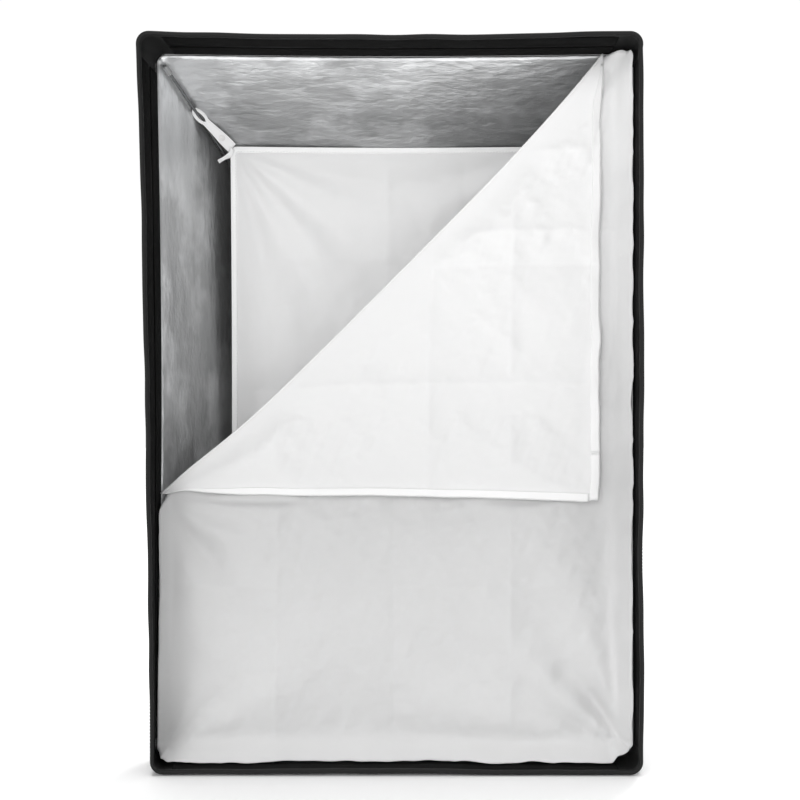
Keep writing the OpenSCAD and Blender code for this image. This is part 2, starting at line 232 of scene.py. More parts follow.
def loft(rings, closed=False):
    """A closed solid through rings of points: a skin, and a fan over each end unless it is closed."""
    rings = np.asarray(rings, float)
    rows, cols, _ = rings.shape
    points = rings.reshape(-1, 3)
    faces = grid_faces(rows, cols, close_rows=closed, close_cols=True)
    along, across = run_along(rings.mean(1)), run_along(rings[0])
    uv = xyz(along[:, None], across).reshape(-1, 2)
    if not closed:
        points = np.vstack([points, rings[0].mean(0), rings[-1].mean(0)])
        uv = np.vstack([uv, uv[[0, -1]]])
        k = np.arange(cols)
        n = (k + 1) % cols
        base, tip = (rows - 1) * cols, np.full(cols, rows * cols)
        caps = [np.stack([tip, k, n, n], -1), np.stack([tip + 1, base + n, base + k, base + k], -1)]
        faces = np.vstack([faces] + caps)
    return points, faces, uv


def path_frame(path, up, closed=False):
    """Tangent, side and up vectors along a path."""
    if closed:
        tangent = unit(np.roll(path, -1, 0) - np.roll(path, 1, 0))
    else:
        tangent = unit(np.gradient(path, axis=0))
    up = np.broadcast_to(up, path.shape)
    side = unit(np.cross(tangent, up))
    return tangent, side, np.cross(side, tangent)


def placed(outline, centre, side, up):
    """An outline of (side, up) offsets, put in space."""
    return centre + side * outline[..., :1] + up * outline[..., 1:]


def sweep(path, outline, up, closed=False, scale=1.0):
    """Carries an outline along a path."""
    _, side, up = path_frame(path, up, closed)
    outline = outline * np.broadcast_to(scale, len(path))[:, None, None]
    return loft(placed(outline, path[:, None], side[:, None], up[:, None]), closed)


def disc(radius, count=10):
    a = np.arange(count) / count * TAU
    return np.stack([np.cos(a), np.sin(a)], -1) * radius


# Signs of a rectangle's corners, anticlockwise, and the sides that run along X
ROUND = [(1, 1), (-1, 1), (-1, -1), (1, -1)]
LEVEL = ("top", "bottom")


def bar(width, height, radius, steps=3):
    """Outline of a flat strip with rounded edges."""
    points = []
    for k, (sx, sy) in enumerate(ROUND):
        for a in np.linspace(k, k + 1, steps) * math.pi / 2:
            x = sx * (width / 2 - radius) + radius * math.cos(a)
            points.append([x, sy * (height / 2 - radius) + radius * math.sin(a)])
    return np.array(points)


def lathe(profile, place, axis, count=24):
    """Turns a profile, (radius, height) pairs, round an axis at place."""
    axis = unit(np.asarray(axis, float))
    side = unit(np.cross(axis, [0.31, 0.72, 0.62]))
    other = np.cross(axis, side)
    a = np.arange(count) / count * TAU
    ring = np.cos(a)[:, None] * side + np.sin(a)[:, None] * other
    return loft([place + ring * r + axis * h for r, h in profile])


def resample(path, pitch, closed=False):
    """Points at an even pitch along a path."""
    if closed:
        path = np.vstack([path, path[:1]])
    run = run_along(path)
    count = max(2, int(round(run[-1] / pitch)))
    at = np.arange(count) / count * run[-1] if closed else np.linspace(0, run[-1], count)
    return np.stack([np.interp(at, run, path[:, k]) for k in range(3)], -1)


def merge(*solids):
    """Several solids as one."""
    points, faces, uvs = zip(*solids)
    starts = np.cumsum([0] + [len(p) for p in points[:-1]])
    return np.vstack(points), np.vstack([f + start for f, start in zip(faces, starts)]), np.vstack(uvs)


STITCH_SHAPE = np.array([[-1, 0.35], [-0.6, 0.9], [0, 1.1], [0.6, 0.9], [1, 0.35]])


def stitches(path, up, pitch=STITCH_PITCH, length=2.8, radius=0.38, closed=False):
    """A row of sewn stitches along a path, each a short raised thread. Sizes in mm."""
    path = resample(path, pitch * MM, closed)
    thread = disc(radius * MM, 6)
    solids = []
    for p, t, s, u in zip(path, *path_frame(path, up, closed)):
        rings = [placed(thread * r, p + t * (a * length * MM / 2), s, u) for a, r in STITCH_SHAPE]
        solids.append(loft(rings))
    return merge(*solids)


def add(name, data):
    made = bpy.data.objects.new(name, data)
    bpy.context.scene.collection.objects.link(made)
    return made


def make(name, solid, look):
    """A Blender object of a solid. A triangle in faces repeats its last corner."""
    points, faces, uv = solid
    mesh = bpy.data.meshes.new(name)
    mesh.from_pydata(points.tolist(), [], [f[:3] if f[2] == f[3] else f for f in faces.tolist()])
    index = np.empty(len(mesh.loops), np.int32)
    mesh.loops.foreach_get("vertex_index", index)
    mesh.uv_layers.new(name="cloth").data.foreach_set("uv", uv[index].astype(np.float32).ravel())
    mesh.polygons.foreach_set("use_smooth", [True] * len(mesh.polygons))
    mesh.materials.append(look)
    return add(name, mesh)


def piece(name, solid, look, slot, *replaced, body="softbox"):
    """Makes an object of a solid, puts it on a body and lets it stand for the replaced CAD nodes."""
    made = make(name, solid, look)
    if body:
        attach(made, body)
    if replaced:
        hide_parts(*replaced)
    return made


# ---- materials
def grey(value, warmth=0.0):
    """A neutral colour, a little warm or cool."""
    return (value * (1 + warmth), value, value * (1 - warmth))


class Look:
    """The nodes of a material or a world."""

    def __init__(self, name, owner=None):
        self.owner = owner or bpy.data.materials.new(name)
        self.owner.use_nodes = True
        self.tree = self.owner.node_tree
        self.tree.nodes.clear()

    def node(self, kind, inputs=(), out=0, **settings):
        """Adds a node and returns one of its outputs. A socket in inputs links, any other value sets."""
        made = self.tree.nodes.new("ShaderNode" + kind)
        for key, value in settings.items():
            setattr(made, key, value)
        for key, value in dict(inputs).items():
            socket = made.inputs[key]
            if isinstance(value, bpy.types.NodeSocket):
                self.tree.links.new(value, socket)
            else:
                socket.default_value = value
        return made.outputs[out] if made.outputs else None

    def math(self, operation, *values):
        return self.node("Math", dict(enumerate(values)), operation=operation)

    def cloth_uv(self, scale=(1, 1)):
        return self.node("Mapping", {"Vector": self.node("UVMap", uv_map="cloth"), "Scale": (*scale, 1)})

    def place(self, scale=(1, 1, 1)):
        return self.node("Mapping", {"Vector": self.node("TexCoord", out="Object"), "Scale": scale})

    def noise(self, vector, scale, detail=3.0, roughness=0.55):
        inputs = {"Vector": vector, "Scale": scale, "Detail": detail, "Roughness": roughness}
        return self.node("TexNoise", inputs)

    def weave(self, pitch):
        """Over-and-under height of a plain weave, 0 to 1."""
        split = self.node("SeparateXYZ", {0: self.cloth_uv((TAU / pitch, TAU / pitch))}).node.outputs
        waves = [self.math("SINE", split[k]) for k in (0, 1)]
        return self.math("MULTIPLY_ADD", self.math("MULTIPLY", *waves), 0.5, 0.5)

    def ramp(self, factor, dark, light, low=0.3, high=0.7):
        """Blends between two colours. A number stands for a grey."""
        made = self.node("ValToRGB", {0: factor}).node
        for stop, at, colour in zip(made.color_ramp.elements, (low, high), (dark, light)):
            stop.position = at
            stop.color = (*(colour if isinstance(colour, tuple) else grey(colour)), 1)
        return made.outputs[0]

    def spread(self, value, low, high):
        """From 0 at low to 1 at high."""
        return self.node("MapRange", {"Value": value, "From Min": low, "From Max": high})

    def bump(self, height, distance, strength, normal=None):
        inputs = {"Height": height, "Distance": distance, "Strength": strength}
        if normal:
            inputs["Normal"] = normal
        return self.node("Bump", inputs)

    def woven(self, pitch, fuzz=0.0, normal=None):
        """Bump of a plain weave with uneven threads, or with loops that stand up where it is fuzzy."""
        normal = self.bump(self.weave(pitch), 0.12 * MM, 0.6, normal)
        uneven = self.noise(self.place(), 900.0 if fuzz else 260.0, detail=4.0)
        return self.bump(uneven, 0.25 * MM, 0.25 + fuzz, normal)

    def finish(self, see_through=0.0, **inputs):
        """Ends a material. Inputs are named as in Blender, with _ for a space."""
        surface = self.node("BsdfPrincipled", {key.replace("_", " "): value for key, value in inputs.items()})
        if see_through:
            glow = self.node("BsdfTranslucent", {"Color": inputs["Base_Color"], "Normal": inputs["Normal"]})
            surface = self.node("MixShader", {0: see_through, 1: surface, 2: glow})
        self.node("OutputMaterial", {"Surface": surface})
        return self.owner


def cloth_look(name, dark, light, pitch, roughness=0.8, specular=0.15, sheen=0.0, see_through=0.0, fuzz=0.0):
    """Woven cloth: threads a pitch apart in mm, slow colour changes, and light through it if it is thin."""
    look = Look(name)
    slow = look.noise(look.place(), 9.0, detail=5.0)
    threads = look.noise(look.cloth_uv((0.15, 1)), 2200.0, detail=1.0)
    tone = look.math("MULTIPLY_ADD", slow, 0.75, look.math("MULTIPLY", threads, 0.25))
    return look.finish(
        see_through,
        Base_Color=look.ramp(tone, dark, light),
        Roughness=look.ramp(slow, roughness - 0.08, roughness + 0.06),
        Specular_IOR_Level=specular,
        Sheen_Weight=sheen,
        Sheen_Roughness=0.5,
        Normal=look.woven(pitch * MM, fuzz),
    )


HEM, HEM_SHADE = 22 * MM, 0.3
# Share of the sheet's height where its colour is darkest: painted shade under the folded flap
PAINTED_SHADE_AT = 0.42


def sheet_look(name, low, middle, high, pitch, see_through):
    """A white sheet with painted light in its colour: greys by height, lighter at the top and darker at a
    middle stop as painted shade under the folded flap, and a doubled hem that lets less light through.
    """
    look = Look(name)
    slow = look.noise(look.place(), 9.0, detail=5.0)
    up = look.spread(look.node("SeparateXYZ", {0: look.place()}, out=2), -SHEET_H, SHEET_H)
    # Painted light: greys by height, lighter at the top for light through the open corner, with the middle
    # stop as painted shade
    colour = look.ramp(look.math("ADD", up, look.math("MULTIPLY", slow, 0.08)), low, high, 0, 1)
    colour.node.color_ramp.elements.new(PAINTED_SHADE_AT).color = (*grey(middle), 1)
    flat = look.node("SeparateXYZ", {0: look.cloth_uv()}).node.outputs
    sizes = enumerate((SHEET_W, SHEET_H))
    edges = [look.math("SUBTRACT", look.math("ABSOLUTE", flat[k]), half - HEM) for k, half in sizes]
    hemmed = look.spread(look.math("MAXIMUM", *edges), -4 * MM, 6 * MM)
    return look.finish(
        look.math("MULTIPLY_ADD", hemmed, -HEM_SHADE * see_through, see_through),
        Base_Color=colour,
        Roughness=0.8,
        Specular_IOR_Level=0.15,
        Normal=look.woven(pitch * MM, normal=look.bump(hemmed, 0.4 * MM, 0.3)),
    )


def silver_look(name, shade=1.0):
    """Metallised lining cloth: softly rough, crinkled across its pull, with painted shade darker towards the
    rear and painted light at the front; shade scales that ramp for a painted-shade copy.
    """
    look = Look(name)
    streaks = look.noise(look.cloth_uv((0.3, 1)), 26.0, detail=6.0, roughness=0.6)
    crinkle = look.noise(look.cloth_uv((0.45, 1)), 120.0)
    patches = look.noise(look.cloth_uv((0.6, 1)), 6.0, detail=5.0, roughness=0.6)
    depth = look.node("SeparateXYZ", {0: look.cloth_uv()}, out=1)
    tone = look.ramp(streaks, grey(0.58, -0.01), grey(0.8, -0.01))
    # Painted shade towards the rear and painted reflection of light at the front, by depth
    painted_shade_rear = look.ramp(depth, 0.66 * shade, 1.2 * shade, 0.3, 0.42)
    for factor in (look.ramp(patches, 0.76, 1.12, 0.46, 0.54), painted_shade_rear):
        tone = look.node("Mix", {0: 1.0, 6: tone, 7: factor}, 2, data_type="RGBA", blend_type="MULTIPLY")
    normal = look.bump(crinkle, 1.5 * MM, 0.6, look.bump(streaks, 6 * MM, 0.6))
    return look.finish(
        Base_Color=tone,
        Metallic=look.ramp(look.noise(look.place(), 700.0, detail=2.0), 0.7, 0.8),
        Roughness=look.ramp(crinkle, 0.3, 0.42),
        Normal=look.bump(look.weave(0.9 * MM), 0.05 * MM, 0.4, normal),
    )


def metal_look(name, dark, light, roughness, scratch=(1, 1, 1), scale=300.0, depth=0.04):
    """Metal with fine marks along one direction, a depth in mm, and uneven polish."""
    look = Look(name)
    marks = look.noise(look.place(scratch), scale, detail=4.0, roughness=0.7)
    return look.finish(
        Base_Color=look.ramp(look.noise(look.place(), 28.0, detail=4.0), dark, light),
        Metallic=1.0,
        Roughness=look.ramp(marks, roughness * 0.7, roughness * 1.35),
        Normal=look.bump(marks, depth * MM, 0.5),
    )


def plastic_look(name, dark, light, roughness, grain=1400.0, depth=0.06):
    """Moulded plastic or powder coat: fine grain, a depth in mm, and slow gloss changes."""
    look = Look(name)
    slow = look.noise(look.place(), 40.0)
    return look.finish(
        Base_Color=look.ramp(slow, dark, light),
        Roughness=look.ramp(slow, roughness - 0.07, roughness + 0.07),
        Normal=look.bump(look.noise(look.place(), grain, detail=2.0), depth * MM, 0.6),
    )


nylon = cloth_look("black_nylon", 0.008, 0.012, 1.1, roughness=0.62, specular=0.13)
nylon_rim = cloth_look("black_binding", 0.014, 0.02, 1.4, roughness=0.7, specular=0.13, sheen=0.02)
nylon_shell = cloth_look("black_shell_nylon", 0.014, 0.02, 1.1, roughness=0.5, specular=0.3)
thread_black = cloth_look("black_thread", 0.02, 0.035, 0.5, roughness=0.6)
loop_black = cloth_look("black_loop_tape", 0.007, 0.01, 1.0, roughness=0.95, specular=0.08, fuzz=0.6)
# The side panels' silver is a darker copy of the same lining: painted shade
silver, silver_painted_shade_side = silver_look("silver_lining"), silver_look("silver_lining_side", 0.92)
# Greys of each sheet at its bottom, middle stop and top: painted light and shade
diffuser = sheet_look("white_diffuser", 0.91, 0.71, 0.96, 0.7, 0.26)
diffuser_back = sheet_look("white_diffuser_back", 0.79, 0.79, 0.93, 0.7, 0.12)
baffle_white = cloth_look("white_baffle", 0.88, 0.9, 0.7, see_through=0.15)
webbing = cloth_look("white_webbing", 0.92, 0.96, 1.6, roughness=0.7, sheen=0.1)
hook_white = cloth_look("white_hook_tape", 0.79, 0.82, 1.5, roughness=0.75, fuzz=0.3)
thread_white = cloth_look("white_thread", 0.8, 0.86, 0.5)
cast_black = plastic_look("cast_black", 0.018, 0.028, 0.5, grain=900.0, depth=0.12)
black_plastic = plastic_look("black_plastic", 0.014, 0.02, 0.42)
nylon_natural = plastic_look("natural_nylon", (0.72, 0.69, 0.6), (0.8, 0.77, 0.68), 0.5)
white_plastic = plastic_look("white_plastic", grey(0.78, 0.01), grey(0.84, 0.01), 0.35)
steel = metal_look("plated_steel", grey(0.42, 0.02), grey(0.5, 0.02), 0.34, (1, 6, 1), 1500, 0.01)
spring_steel = metal_look("spring_steel", grey(0.13, -0.02), grey(0.2, -0.02), 0.4, (1, 0.2, 1), 900)
brass = metal_look("brass", (0.7, 0.5, 0.22), (0.82, 0.6, 0.3), 0.32)


# ---- how the cloth walls are pulled
def pull(points):
    """Moves points of the front's walls and sheets by the lean and sag of the cloth walls."""
    x, y, z = np.moveaxis(points, -1, 0)
    f = np.clip((LIP_Y - y) / (LIP_Y - FRONT_Y), 0, 1)

    def inward(side, reach, share):
        return np.clip(reach, 0, 1) * share * ((1 - f) * ROOT_SAG[side] + f * RIM_SAG[side])

    down = (HALF_H - z) / (2 * HALF_H)
    lean = LEAN_TOP + LEAN_FALL * down * (1.6 - 0.6 * down)
    mid_x, mid_z = mid_share(x, HALF_W), mid_share(z, HALF_H)
    left_in = inward("left", -x / HALF_W, mid_z) + np.clip(-x / HALF_W, 0, 1) * f * lean
    right_in = inward("right", x / HALF_W, mid_z)
    rise = inward("bottom", -z / HALF_H, mid_x) - inward("top", z / HALF_H, mid_x)
    return points + xyz(left_in - right_in, 0, rise)


def rounded_rect(half_w, half_h, radius, pitch):
    """Points (x, z) and outward normals round a rectangle with round corners, anticlockwise."""
    points, normals = [], []
    steps = max(4, int(radius * math.pi / 2 / pitch * 2))
    for k, (sx, sz) in enumerate(ROUND):
        for a in (np.arange(steps + 1) / steps + k) * math.pi / 2:
            normals.append([math.cos(a), math.sin(a)])
            points.append([sx * (half_w - radius) + radius * normals[-1][0],
                           sz * (half_h - radius) + radius * normals[-1][1]])
        span = 2 * ((half_h if k % 2 else half_w) - radius)
        count = int(span / pitch)
        ahead = np.array([[-1, 0], [0, -1], [1, 0], [0, 1]][k]) * span / count
        points += [points[-1] + ahead * i for i in range(1, count)]
        normals += [normals[-1]] * (count - 1)
    return np.array(points), np.array(normals)


def wall_solid(profile):
    """A closed ring round the front: a closed profile of (outward from the lip's outer face, y) points."""
    flat, normals = rounded_rect(HALF_W, HALF_H, LIP_CORNER_R, 5 * MM)
    y = profile[None, :, 1]
    f = np.clip((LIP_Y - y) / (LIP_Y - FRONT_Y), 0, 1)
    out = profile[None, :, 0] + lip_wobble(run_along(flat)[:, None], y) * LIP_WOBBLE * f
    x, z = (flat[:, k, None] + out * normals[:, k, None] for k in (0, 1))
    return loft(pull(xyz(x, y, z)), closed=True)


lip_wobble = ripple(11, 60 * MM, 320 * MM)
LIP_WOBBLE, LIP_PUFF, UNDER_HEM = 0.8 * MM, 0.5 * MM, 4 * MM
HEM_PROUD, HEM_T, HEM_ROUND = 0.5 * MM, 5 * MM, 1.9 * MM


def lip_profile():
    """The lip's wall from the shell to the rim, out along one face and back along the other."""
    ys = np.linspace(LIP_Y, RIM_Y - UNDER_HEM, 14)
    puff = LIP_PUFF * np.sin(np.linspace(0, math.pi, 14))
    return np.vstack([xyz(puff, ys), xyz(puff - LIP_WALL, ys)[::-1]])


def rim_profile():
    """The bound hem: a rolled band, fuller on its front edge."""
    centre = np.array([HEM_PROUD - HEM_T / 2, (RIM_Y + FRONT_Y) / 2])
    return bar(HEM_T, RIM_Y - FRONT_Y, HEM_ROUND, 4) + centre


piece("front_lip_cloth", wall_solid(lip_profile()), nylon, "black_nylon", "front_lip")
piece("rim_hem", wall_solid(rim_profile()), nylon_rim, "black_nylon", "lip_rim_binding")


def wall_stitches(out, y):
    """A row of stitches round the front wall."""
    flat, normals = rounded_rect(HALF_W, HALF_H, LIP_CORNER_R, 4 * MM)
    flat = flat + normals * out
    path = pull(xyz(flat[:, 0], y, flat[:, 1]))
    spots = resample(path, STITCH_PITCH * MM, closed=True)
    nearest = [int(np.argmin(np.sum((path - s) ** 2, 1))) for s in spots]
    return stitches(spots, xyz(normals[:, 0], 0, normals[:, 1])[nearest], closed=True)


LIP_ROWS = [(0.5 * MM, RIM_Y + 2 * MM), (0.3 * MM, LIP_Y - 4 * MM), (0.5 * MM, LIP_Y - 9 * MM)]
lip_rows = merge(*[wall_stitches(*row) for row in LIP_ROWS])
piece("lip_topstitching", lip_rows, thread_black, "black_nylon")


# ---- outer shell and lining
# Outward and along directions of each side, and how far its panel sinks at mid depth
PANELS = {
    "top": (Z, X, 4 * MM),
    "bottom": (-Z, -X, 4 * MM),
    "left": (-X, Z, 8 * MM),
    "right": (X, -Z, 8 * MM),
}
# Calmer wrinkles where the baffle's edge is near, and a panel's length per metre of its depth
BAFFLE_CALM, BOW_LENGTH = 0.6, 1.25


def rounded(a, b, half_a, half_b, radius):
    """Pulls points in the square corner at (half_a, half_b) in to a round one."""
    qa, qb = a - (half_a - radius), b - (half_b - radius)
    there = (qa > 0) & (qb > 0)
    shrink = np.maximum(qa, qb) / np.maximum(np.hypot(qa, qb), TINY)
    round_a, round_b = half_a - radius + qa * shrink, half_b - radius + qb * shrink
    return np.where(there, round_a, a), np.where(there, round_b, b)


def round_section(a, b, half_a, half_b, s, inset=0.0):
    """Rounds the square corner of the box's section, from three quarters of its depth to the lip."""
    return rounded(a, b, half_a, half_b, (SHELL_CORNER_R - inset) * smoothstep((s - 0.75) / 0.25))


def panel(side, inset, thickness, step, *wrinkles):
    """One panel of the tapering box. It bows along its depth and sinks a little between the corner seams."""
    outward, across, middle_sag = PANELS[side]
    out_arc, across_arc = (top_arc, side_arc) if side in LEVEL else (side_arc, top_arc)
    depth = np.linspace(-REAR_Y, -LIP_Y, int((REAR_Y - LIP_Y) / step))
    width = LIP_IN_W if side in LEVEL else LIP_IN_H
    t = np.linspace(-1, 1, int(2 * width / step))
    s = ((depth - depth[0]) / (depth[-1] - depth[0]))[:, None]
    height = arc_out(out_arc, depth)[:, None] - inset
    half = arc_out(across_arc, depth)[:, None] - inset
    sag = (ROOT_SAG[side] * s**2 + middle_sag * np.sin(math.pi * s)) * np.cos(t * math.pi / 2)
    u, v = half * t, np.broadcast_to(depth[:, None], (len(depth), len(t)))
    calm = smoothstep((1 - np.abs(t)) * half / (30 * MM)) * smoothstep(s * 8) * smoothstep((1 - s) * 12)
    calm = calm * (1 - BAFFLE_CALM * bell(v + BAFFLE_Y, 22 * MM))
    level = height - sag - sum(wrinkle(u, v) for wrinkle in wrinkles) * calm
    round_u, level = round_section(np.abs(u), level, half, height, s, inset)
    across_u = np.sign(t) * round_u
    points = level[..., None] * outward + across_u[..., None] * across - v[..., None] * Y
    return slab(points.reshape(-1, 3), grid_faces(*u.shape), xyz(u, v * BOW_LENGTH).reshape(-1, 2), thickness)


def soft_min(a, b, blend):
    """The lower of two heights, rounded where they cross."""
    return -blend * np.logaddexp(-a / blend, -b / blend)


def above_zero(v):
    """Smoothly keeps a height field from going below zero."""
    return np.logaddexp(0, 2.5 * v) / 2.5


def shell_wrinkle(seed):
    """Outer cloth: long shallow pulls and a few sharper puckers, sinking towards the inside."""
    long_waves = ripple(seed, 90 * MM, 420 * MM)
    puckers = ripple(seed + 50, 30 * MM, 140 * MM, ridged=True)
    return lambda u, v: 1.8 * MM * above_zero(long_waves(u * 0.5, v) + 0.6 * puckers(u * 0.6, v))


def lining_wrinkle(seed):
    """Lining: creases that run across the panel, always towards the inside of the box."""
    facets = ripple(seed, 70 * MM, 260 * MM, count=9, ridged=True)
    creases = ripple(seed + 50, 14 * MM, 90 * MM, count=30, ridged=True)
    return lambda u, v: 3.0 * MM * above_zero(facets(u * 0.4, v)) + 0.9 * MM * above_zero(creases(u * 0.4, v))


SHELL_T, LINING_T = 1.0 * MM, 0.5 * MM
LINING_INSET = 1.7 * MM
for number, side in enumerate(PANELS):
    outer_cloth = shell_wrinkle(21 + number)
    solid = panel(side, SHELL_T / 2, SHELL_T, 5 * MM, outer_cloth)
    piece(f"shell_{side}_cloth", solid, nylon_shell, "black_nylon", f"shell_{side}")
    solid = panel(side, LINING_INSET, LINING_T, 4 * MM, outer_cloth, lining_wrinkle(31 + number))
    # Side panels take the darker silver copy: painted shade
    look = silver_painted_shade_side if side in ("left", "right") else silver
    piece(f"lining_{side}_cloth", solid, look, "silver_lining", f"lining_{side}")


def corner_seam(corner, out, aside=(0, 0)):
    """The seam between two panels at a corner, moved out on the diagonal and aside along x or z."""
    depth = np.linspace(-REAR_Y, -LIP_Y, 90)
    half_x, half_z = arc_out(side_arc, depth) + out, arc_out(top_arc, depth) + out
    s = (depth - depth[0]) / (depth[-1] - depth[0])
    x, z = round_section(half_x - aside[0], half_z - aside[1], half_x, half_z, s)
    return xyz(x * corner[0], -depth, z * corner[1])


def diagonal(corner):
    return unit(corner[0] * X + corner[1] * Z)


CORNERS = [(-1, 1), (1, 1), (-1, -1), (1, -1)]
piping, seam_threads = [], []
for corner in CORNERS:
    piping.append(sweep(corner_seam(corner, 0.6 * MM), disc(1.9 * MM, 12), diagonal(corner)))
    for aside, outward in (((6 * MM, 0), corner[1] * Z), ((0, 6 * MM), corner[0] * X)):
        row = corner_seam(corner, 0.15 * MM, aside)
        seam_threads.append(stitches(row[3:-1], outward, 5, 3.2))
piece("shell_corner_piping", merge(*piping), nylon_rim, "black_nylon")
piece("shell_seam_stitching", merge(*seam_threads), thread_black, "black_nylon")


# ---- rear collar, patches and tabs
HOLE_R = 64.6 * MM
collar_y = middle_y("rear_collar")


def collar_solid():
    """Cloth from the shell's square rear edge to the round elastic hole, gathered towards the hole."""
    angle = np.linspace(0, TAU, 289)[:-1]
    c, s = np.cos(angle), np.sin(angle)
    q = np.linspace(0, 1, 14)[:, None]
    radius = HOLE_R + (REAR_HALF / np.maximum(np.abs(c), np.abs(s)) - HOLE_R) * q
    gather = 0.3 * MM * np.sin(48 * angle) * (1 - q) ** 0.7 + 0.12 * MM * np.sin(21 * angle + 1)
    points = xyz(radius * c, collar_y - 0.1 * MM + gather, radius * s).reshape(-1, 3)
    return slab(points, grid_faces(len(q), len(angle), close_cols=True), points[:, [0, 2]], 0.7 * MM)


def ring_path(radius, y, count=120, waves=0.0):
    a = np.arange(count) / count * TAU
    r = radius + waves * np.sin(a * 30)
    return xyz(r * np.cos(a), y, r * np.sin(a))


piece("rear_collar_cloth", collar_solid(), nylon_shell, "black_nylon", "rear_collar")
elastic = sweep(ring_path(HOLE_R, collar_y, 240, 0.15 * MM), disc(1.0 * MM, 10), Y, closed=True)
square_path = [x * REAR_HALF * X + (collar_y - 0.6 * MM) * Y + z * REAR_HALF * Z for x, z in ROUND]
hem = sweep(resample(np.array(square_path), 3 * MM, closed=True), disc(1.4 * MM, 10), Y, closed=True)
piece("collar_edge_binding", merge(elastic, hem), nylon_rim, "black_nylon")
elastic_row = stitches(ring_path(HOLE_R + 3 * MM, collar_y + 0.5 * MM), Y, closed=True)
piece("collar_stitching", elastic_row, thread_black, "black_nylon")


def soft_pad(centre, along, across, length, width, thickness):
    """A flat strip of webbing with rounded edges."""
    normal = unit(np.cross(along, across))
    t = np.linspace(-0.5, 0.5, 16)
    taper = 1 - 0.12 * np.abs(2 * t) ** 12
    path = centre + t[:, None] * length * along
    return sweep(path, bar(width, thickness, thickness * 0.45), normal, scale=taper)


TAB_R, TAB_L, TAB_W, TAB_T = 66 * MM, 31 * MM, 28 * MM, 1.2 * MM
tab_y, patch_y = middle_y("closure_tab_left"), middle_y("collar_loop_patches")
patches = []
for side, name in ((-1, "left"), (1, "right")):
    outward = diagonal((side, 1))
    across = np.cross(Y, outward)
    middle = outward * (TAB_R + TAB_L / 2)
    centre = middle + tab_y * Y
    pad = soft_pad(centre, outward, across, TAB_L, TAB_W, TAB_T * 0.8)
    box = [outward * a * TAB_L + across * b * TAB_W for a, b in ((1, 1), (1, -1), (-1, -1), (-1, 1))]
    box = resample(centre + 0.4 * np.array(box), 1 * MM, closed=True) + TAB_T * 0.45 * Y
    rows = stitches(box, Y, 3, 2, 0.25, closed=True)
    node = f"closure_tab_{name}"
    piece(f"{node}_webbing", merge(pad, rows), nylon_rim, "black_nylon", node, body=f"tab_{name}")
    patches.append(soft_pad(middle + patch_y * Y, outward, across, 17 * MM, 20 * MM, 0.5 * MM))
piece("collar_loop_patch_pair", merge(*patches), loop_black, "black_loop_tape", "collar_loop_patches")


# ---- tapes on the lip's inner wall
def wall_strip(side, out, y_range, run, thickness):
    """A tape standing on a side of the lip: out is from the lip's outer face, run its span along the side."""
    outward, along, _ = PANELS[side]
    half = HALF_H if side in LEVEL else HALF_W
    a = np.linspace(*run, max(3, int((run[1] - run[0]) / TAPE_STEP)))
    path = a[:, None] * np.abs(along) + outward * (half - out) + sum(y_range) / 2 * Y
    section = bar(y_range[1] - y_range[0], thickness, thickness * 0.4)
    points, faces, uv = sweep(path, section, -outward)
    return pull(points), faces, uv


TAPE_T, TAPE_STEP, TAPE_END = 1.2 * MM, 6 * MM, 27 * MM
TAPE_X, TAPE_Z = HALF_W - TAPE_END, HALF_H - TAPE_END
for name in ("diffuser_loop_tape", "grid_loop_tape"):
    lo, hi = corners(name)
    strips = []
    for side in PANELS:
        reach = TAPE_X if side in LEVEL else TAPE_Z
        strips.append(wall_strip(side, LIP_WALL + TAPE_T / 2, (lo[1], hi[1]), (-reach, reach), TAPE_T * 0.7))
    piece(f"{name}_strips", merge(*strips), loop_black, "black_loop_tape", name)

hook_spans = {
    "right": (-TAPE_Z, TAPE_Z),
    "left": (-TAPE_Z, FOLD_LEFT_Z - 16 * MM),
    "bottom": (-TAPE_X, TAPE_X - 14 * MM),
}
HOOK_OUT = LIP_WALL + TAPE_T * 1.5 + 0.2 * MM
hooks = []
hook_lo, hook_hi = corners("diffuser_hook_tape")
for side, run in hook_spans.items():
    front_edge = hook_lo[1] + (15 * MM if side == "left" else 0)
    hooks.append(wall_strip(side, HOOK_OUT, (front_edge, hook_hi[1]), run, TAPE_T * 0.9))
piece("diffuser_hook_strips", merge(*hooks), hook_white, "white_hook_tape", "diffuser_hook_tape")


# ---- rods' soft pockets
POCKET_OUTER, POCKET_INNER = disc(4.1 * MM, 16), disc(2.9 * MM, 16)
POCKET_SIZE = np.concatenate([[0.55, 0.85], np.ones(8), [1.06, 1.0]])
pocket_solids, pocket_rows = [], []
for corner in CORNERS:
    path = rod_points(np.linspace(-1.5, 12.5, len(POCKET_SIZE)) * MM, corner)
    _, aside, up = path_frame(path, -diagonal(corner))
    stations = list(zip(path, aside, up))
    rings = [placed(POCKET_OUTER * size, *at) for size, at in zip(POCKET_SIZE, stations)]
    rings += [placed(POCKET_INNER, *at) for at in stations[:1:-1]]
    pocket_solids.append(loft(rings))
    mouth = placed(POCKET_OUTER * 1.08, *stations[-2])
    pocket_rows.append(stitches(mouth, up[-2], 3, 1.8, 0.25, closed=True))
piece("corner_pocket_sleeves", merge(*pocket_solids), silver, "silver_lining", "corner_pockets")
piece("corner_pocket_stitching", merge(*pocket_rows), thread_white, "silver_lining")


